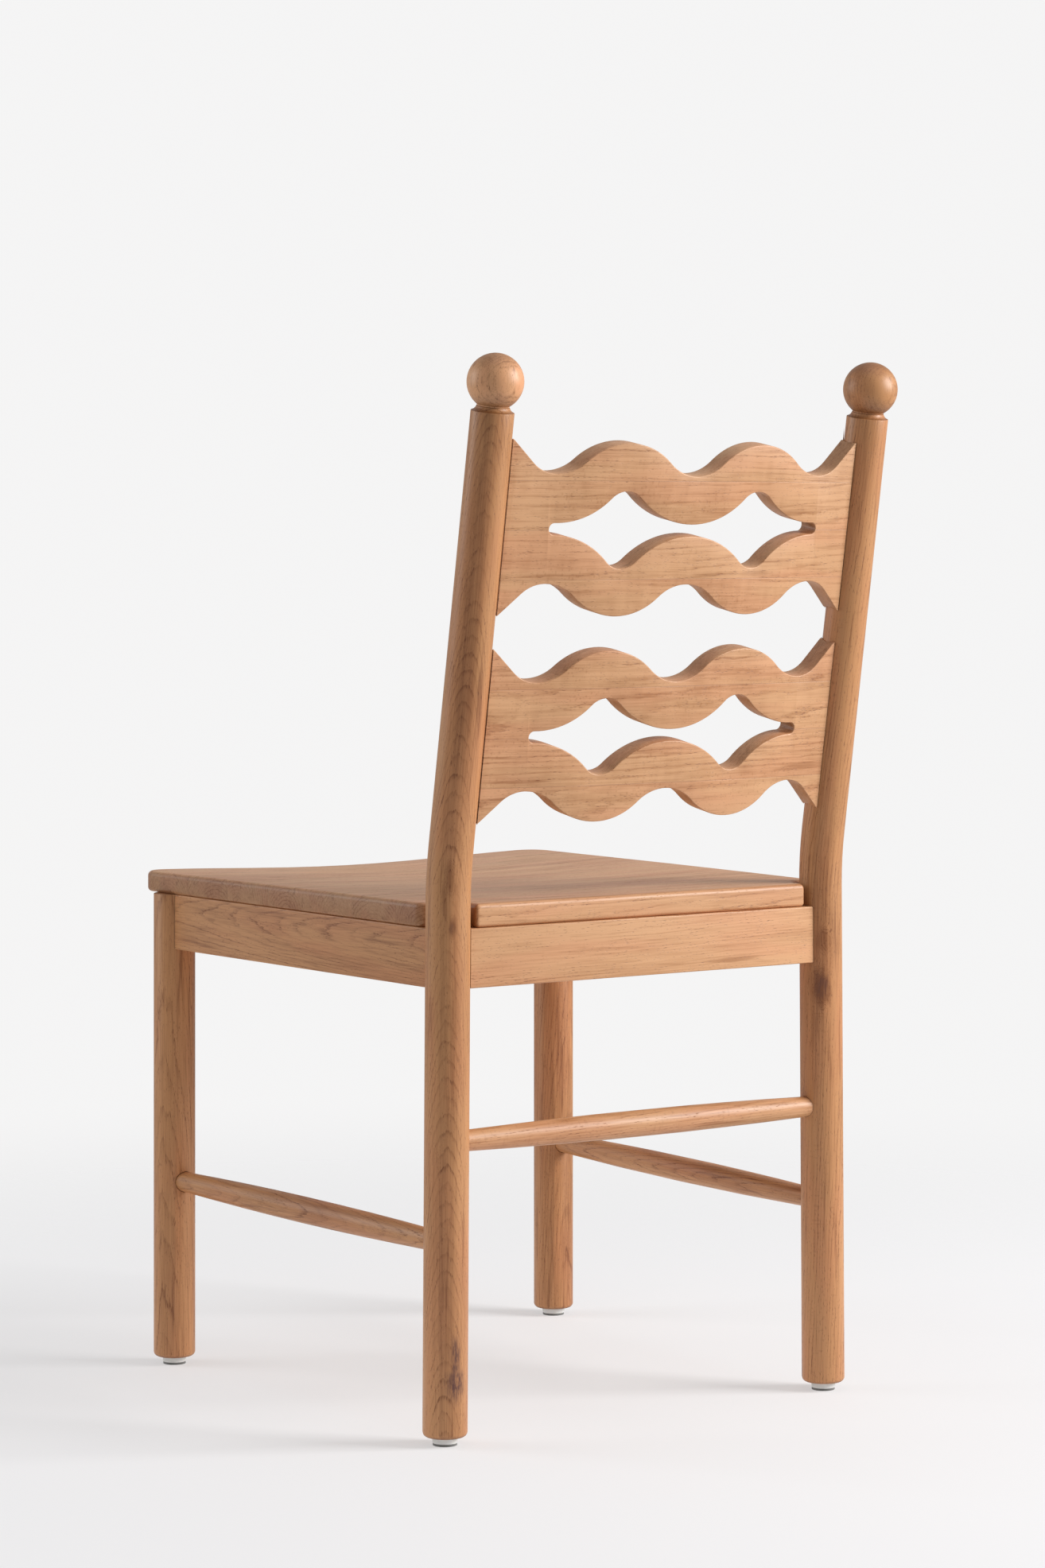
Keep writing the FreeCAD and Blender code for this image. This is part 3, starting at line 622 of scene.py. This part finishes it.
def dressed_copy(node, material, arris=0.0, slot="oak", crown=0.0):
    """A merged copy of a solid, its sharp arrises eased and its round faces shaded smooth."""
    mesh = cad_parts[node].data.copy()
    piece = bpy.data.objects.new(node + "_dressed", mesh)
    bpy.context.scene.collection.objects.link(piece)
    work_on(piece)
    bpy.ops.object.mode_set(mode="EDIT")
    bpy.ops.mesh.select_all(action="SELECT")
    bpy.ops.mesh.remove_doubles(threshold=WELD_DISTANCE)
    bpy.ops.mesh.dissolve_limited(angle_limit=FLAT_ANGLE)
    bpy.ops.mesh.select_all(action="DESELECT")
    bpy.ops.object.mode_set(mode="OBJECT")
    bpy.ops.mesh.customdata_custom_splitnormals_clear()
    if crown:
        ease_crown(piece, crown)
    if arris:
        bevel = piece.modifiers.new("eased_arris", "BEVEL")
        bevel.limit_method = "ANGLE"
        bevel.angle_limit = ARRIS_ANGLE
        bevel.width = arris
        bevel.segments = ARRIS_SEGMENTS
        bevel.use_clamp_overlap = False
        bevel.miter_outer = "MITER_ARC"
        apply_modifiers(piece)
    work_on(piece)
    bpy.ops.object.shade_smooth_by_angle(angle=SMOOTH_ANGLE)
    return finish_piece(piece, material, slot, node)


def pith_from(axis, distance, heading):
    """Shifts the pattern so that the pith lies this far from an axis, at a heading in degrees."""
    angle = math.radians(heading)
    aside = axis[0] + distance * math.cos(angle)
    behind = axis[1] + distance * math.sin(angle)
    return (-aside, -behind, 0.0)


def make_wood_pieces():
    """Posts, legs, balls, rails, seat and back, each from its own part of the trunk."""
    post = oak(
        "left_rear_post_oak", ALONG_Z, pith_from((200.5, 192.5), 90.0, -125.0), POST_PALE, POST_DEEP,
        line=POST_LINE, ring_width=2.1, wander=4.2, taper=-0.140, tone=0.16, figure=0.47, ray=0.12,
        # Painted shade: a dark band down the back of the post, toward its outer side
        shaded=(((0.2100, 0.2085, 0.45), (0.0115, 0.0115, 5.0), 0.24),),
        knots=(
            ((0.2090, 0.2090, 0.474), (0.007, 0.008, 0.020), 0.75),
            ((0.2070, 0.2105, 0.434), (0.005, 0.008, 0.012), 0.85),
            ((0.2120, 0.2065, 0.458), (0.003, 0.006, 0.030), 0.60),
        ),
        stains=(
            ((0.2049, 0.2122, 0.052), (0.0135, 0.0135, 0.020), 1.00),
            ((0.2049, 0.2122, 0.074), (0.0065, 0.0085, 0.027), 0.90),
            ((0.2070, 0.2105, 0.434), (0.0040, 0.0060, 0.009), 0.45),
        ),
    )
    dressed_copy("left_rear_post", post, crown=POST_CROWN_LEVEL)
    post = oak(
        "right_rear_post_oak", ALONG_Z, pith_from((-200.5, 192.5), 78.0, -35.0), POST_PALE, POST_DEEP,
        line=POST_LINE, ring_width=2.8, wander=8.0, taper=-0.05, tone=0.13, figure=0.54, ray=0.20,
        # Painted shade: a darker patch on the back of the post, round its knots
        shaded=(((-0.187, 0.2065, 0.43), (0.017, 0.017, 0.16), 0.26),),
        knots=(
            ((-0.1895, 0.2081, 0.360), (0.013, 0.014, 0.024), 1.0),
            ((-0.1900, 0.2085, 0.402), (0.009, 0.012, 0.018), 0.60),
        ),
        stains=(((-0.1890, 0.2081, 0.362), (0.009, 0.010, 0.015), 0.55),),
    )
    dressed_copy("right_rear_post", post, crown=POST_CROWN_LEVEL)
    # Side, axis, distance and heading of the pith, then the tones
    balls = (
        # The left ball's paler colour and tone of 0.00 are painted light
        ("left", (208.0, 262.0), 30.0, -100.0, LEFT_BALL_PAINTED_LIGHT_PALE, 0.00),
        ("right", (-199.3, 262.0), 60.0, -60.0, POST_PALE, 0.16),
    )
    for side, axis, distance, heading, pale, tone in balls:
        ball = oak(
            f"{side}_finial_oak", ALONG_Z, pith_from(axis, distance, heading), pale, POST_DEEP,
            ring_width=3.0, wander=8.0, taper=-0.05, tone=tone, figure=0.36, ray=0.28,
        )
        dressed_copy(f"{side}_finial", ball, crown=BALL_CROWN_LEVEL)
    legs = (
        ("left", (212.8, -239.0), 52.0, -150.0, 0.30),
        ("right", (-212.8, -239.0), 66.0, -70.0, 0.40),
    )
    for side, axis, distance, heading, tone in legs:
        leg = oak(
            f"{side}_front_leg_oak", ALONG_Z, pith_from(axis, distance, heading), POST_PALE, POST_DEEP,
            ring_width=2.8, wander=9.0, taper=-0.06, tone=tone, figure=0.50, ray=0.15,
        )
        dressed_copy(f"{side}_front_leg", leg, FINE_ARRIS)
    # From here a place says where the piece lies in the trunk
    rails = (("left", (-192.0, 419.0, 0.0)), ("right", (188.0, 412.0, 260.0)))
    for side, place in rails:
        rail = oak(
            f"{side}_side_apron_oak", ALONG_Y, place, POST_PALE, POST_DEEP,
            ring_width=2.4, wander=7.0, taper=-0.028, tone=0.24, figure=0.62, ray=0.06,
        )
        dressed_copy(f"{side}_side_apron", rail, FINE_ARRIS)
    for side, place in (("left", (-169.0, 168.5, 40.0)), ("right", (169.0, 168.5, 190.0))):
        stretcher = oak(
            f"{side}_stretcher_oak", ALONG_Y, place, POST_PALE, POST_DEEP,
            ring_width=2.6, wander=7.0, taper=-0.05, tone=0.26, figure=0.50,
        )
        dressed_copy(f"{side}_stretcher", stretcher)
    for end, place in (("front", (406.0, 220.0, 0.0)), ("rear", (490.0, -40.0, 60.0))):
        rail = oak(
            f"{end}_apron_oak", ALONG_X, place, SLAT_PALE, SLAT_DEEP,
            ring_width=2.5, wander=9.0, taper=-0.03, tone=0.20, figure=0.36, ray=0.06,
        )
        dressed_copy(f"{end}_apron", rail, FINE_ARRIS)
    stretcher = oak(
        "rear_stretcher_oak", ALONG_X, (250.0, -150.0, 10.0), SLAT_PALE, SLAT_DEEP,
        ring_width=2.4, wander=7.0, taper=-0.03, tone=0.32, figure=0.44,
    )
    dressed_copy("rear_stretcher", stretcher)
    for level, seed, tone, curl in (("lower", 7.0, 0.32, 0.25), ("upper", 3.0, 0.24, 0.40)):
        low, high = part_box(f"{level}_back_panel")
        middle = (low + high) / 2 / MM
        slope = middle.y * math.sin(BACK_RAKE) + middle.z * math.cos(BACK_RAKE)
        panel = oak(
            f"{level}_back_panel_oak", (BACK_RAKE, math.pi / 2, 0.0), (-slope, 30.0, 0.0),
            SLAT_PALE, SLAT_DEEP, line=PANEL_LINE, tone=tone,
            strip=PANEL_STRIP, seed=seed, pith=(95.0, 45.0), tone_spread=0.14,
            ring_width=2.0, wander=4.0, taper=-0.010, curl=curl, figure=0.55, ray=0.22,
        )
        dressed_copy(f"{level}_back_panel", panel, ARRIS)
    seat = oak(
        "seat_oak", (0.0, math.pi / 2, math.pi / 2), (0.0, -440.0, 0.0),
        SLAT_PALE, SLAT_DEEP, tone=0.34, arris_tone=SEAT_RUBBED_TONE,
        strip=SEAT_STAVE, seed=11.0, pith=(22.0, 26.0), tone_spread=0.15,
        ring_width=3.4, wander=7.0, taper=-0.02, figure=0.50, ray=0.05,
    )
    dressed_copy("seat_board", seat)


def make_fixings():
    """Corner blocks, screws and the glides under the feet."""
    block_wood = oak(
        "bare_block_wood", (math.pi / 2, 0.0, math.pi / 4), (90.0, 140.0, 30.0),
        BLOCK_PALE, BLOCK_DEEP, ring_width=2.6, wander=8.0, taper=0.02, tone=0.30, figure=0.35,
    )
    steel, shader = plain_material("screw_steel", (0.52, 0.50, 0.46), 0.32, 0.25, 0.0012, 0.00003)
    shader.inputs["Metallic"].default_value = 1.0
    nylon, shader = plain_material("glide_nylon", (0.80, 0.79, 0.76), 0.42, 0.06, 0.0016, 0.00004)
    shader.inputs["Subsurface Weight"].default_value = 0.05
    felt, shader = plain_material("glide_felt", (0.23, 0.23, 0.22), 0.95, 0.55, 0.0006, 0.0003)
    shader.inputs["Sheen Weight"].default_value = 0.4
    for corner in ("front_left", "front_right", "rear_left", "rear_right"):
        dressed_copy(f"{corner}_corner_block", block_wood, BLOCK_ARRIS, "block_wood")
        dressed_copy(f"{corner}_glide", nylon, slot="glide_plastic")
        dressed_copy(f"{corner}_glide_pad", felt, slot="glide_felt")
    for fixing in ("corner_block_screws", "seat_screws", "glide_nails"):
        dressed_copy(fixing, steel, slot="screw_steel")


# Studio


def make_floor():
    """A pale floor that thins out into the backdrop far from the chair."""
    deselect_all()
    bpy.ops.mesh.primitive_circle_add(vertices=FLOOR_SIDES, radius=FLOOR_REACH, fill_type="NGON")
    floor = bpy.context.object
    floor.name = "studio_floor"
    material = bpy.data.materials.new("studio_floor_paint")
    material.use_nodes = True
    tree = material.node_tree
    shader = tree.nodes["Principled BSDF"]
    here = put(tree, "TexCoord", out=3)
    distance = put(tree, "VectorMath", {0: here}, out=1, operation="LENGTH")
    solid = between(tree, distance, FLOOR_CLEAR_RADIUS, FLOOR_FADE_RADIUS, 1.0, 0.0)
    tree.links.new(solid, shader.inputs["Alpha"])
    shader.inputs["Base Color"].default_value = FLOOR_TONE
    shader.inputs["Roughness"].default_value = FLOOR_ROUGHNESS
    shader.inputs["Specular IOR Level"].default_value = FLOOR_SPECULAR
    shader.inputs["Emission Color"].default_value = FLOOR_GLOW_TONE
    shader.inputs["Emission Strength"].default_value = FLOOR_GLOW
    floor.data.materials.append(material)


def softbox(name, place, aim, size, power, colour):
    """A square soft light, turned to face its aim."""
    light = bpy.data.lights.new(name, "AREA")
    light.size = size
    light.energy = power
    light.color = colour
    lamp = bpy.data.objects.new(name, light)
    lamp.location = place
    lamp.rotation_euler = (Vector(aim) - Vector(place)).to_track_quat("-Z", "Y").to_euler()
    bpy.context.scene.collection.objects.link(lamp)


def make_studio():
    """The backdrop as the camera sees it, the room's soft light for all else, and the lamps."""
    world = bpy.data.worlds.new("studio_air")
    bpy.context.scene.world = world
    world.use_nodes = True
    tree = world.node_tree
    backdrop = tree.nodes["Background"]
    backdrop.inputs["Color"].default_value = BACKDROP_TONE
    ambient = tree.nodes.new("ShaderNodeBackground")
    ambient.inputs["Color"].default_value = AMBIENT_TONE
    ambient.inputs["Strength"].default_value = AMBIENT_STRENGTH
    seen = put(tree, "LightPath")
    mixer = tree.nodes.new("ShaderNodeMixShader")
    mirrored = maths(tree, "MULTIPLY", seen.node.outputs["Is Glossy Ray"], ROOM_SHEEN)
    tree.links.new(maths(tree, "MAXIMUM", seen, mirrored), mixer.inputs[0])
    tree.links.new(ambient.outputs[0], mixer.inputs[1])
    tree.links.new(backdrop.outputs[0], mixer.inputs[2])
    tree.links.new(mixer.outputs[0], tree.nodes["World Output"].inputs["Surface"])
    for name, place, size, power, tone in LAMPS:
        softbox(name, place, LAMP_AIM, size, power, tone)


def make_camera():
    """The camera stands where the photographer did."""
    camera = bpy.data.objects.new("camera", bpy.data.cameras.new("camera"))
    camera.location = CAMERA_PLACE
    camera.rotation_euler = CAMERA_TURN
    camera.data.lens = CAMERA_LENS
    camera.data.sensor_width = CAMERA_SENSOR
    camera.data.shift_y = CAMERA_SHIFT_Y
    bpy.context.scene.collection.objects.link(camera)
    bpy.context.scene.camera = camera


make_wood_pieces()
make_fixings()
make_floor()
make_studio()
make_camera()
bpy.context.scene.view_settings.view_transform = "Standard"

bpy.context.view_layer.update()
